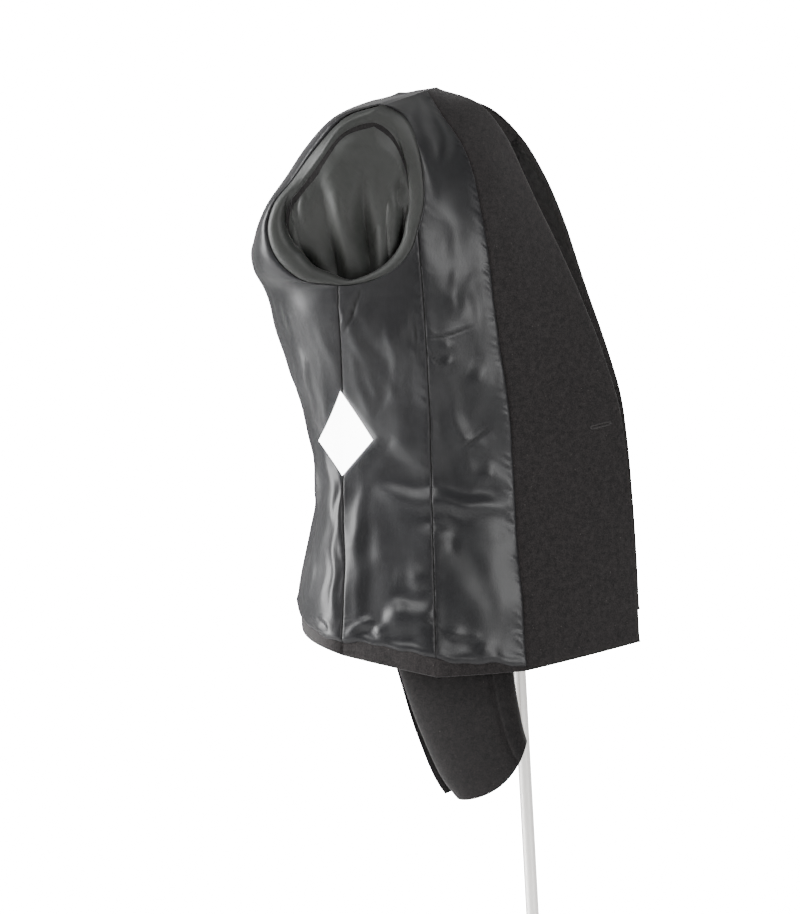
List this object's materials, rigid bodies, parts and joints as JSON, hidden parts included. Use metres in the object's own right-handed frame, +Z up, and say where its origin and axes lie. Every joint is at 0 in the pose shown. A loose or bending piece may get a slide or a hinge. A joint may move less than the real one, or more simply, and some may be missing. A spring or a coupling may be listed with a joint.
{
  "type": "blazer turned inside out on a limbless dress form",
  "caption": "Short wool blazer turned inside out, lining and facings showing, open on a plain limbless dress form with a plated pole and round base.",
  "frame": {"origin": "on the pole's axis, at the underside of the round base", "axes": "+Z up along the pole, -Y towards the open fronts, -X towards the wearer's right side"},
  "size_m": [0.3592, 0.3833, 1.378],
  "materials": {
    "wool": "matte",
    "lining": "satin",
    "sleeve_lining": "satin",
    "label": "matte",
    "horn": "satin",
    "form_cover": "matte",
    "plated": "polished"
  },
  "bodies": {
    "root": {"lining_back_R": "lining", "lining_back_L": "lining", "lining_side_R": "lining", "lining_side_L": "lining", "lining_front_R": "lining", "lining_front_L": "lining", "hem_back_R": "wool", "hem_back_L": "wool", "hem_side_R": "wool", "hem_side_L": "wool", "hem_front_R": "wool", "hem_front_L": "wool", "facing_R": "wool", "facing_L": "wool", "shell_back_R": "wool", "shell_back_L": "wool", "shell_side_R": "wool", "shell_side_L": "wool", "shell_front_R": "wool", "shell_front_L": "wool", "lapel_R": "wool", "lapel_L": "wool", "collar": "wool", "sleeve_under_R": "wool", "sleeve_under_L": "wool", "sleeve_top_R": "wool", "sleeve_top_L": "wool", "sleeve_lining_R": "sleeve_lining", "sleeve_lining_L": "sleeve_lining", "care_label": "label", "button_L": "horn", "form_torso": "form_cover", "pole_flange": "plated", "pole": "plated", "base": "plated"}
  },
  "joints": []
}
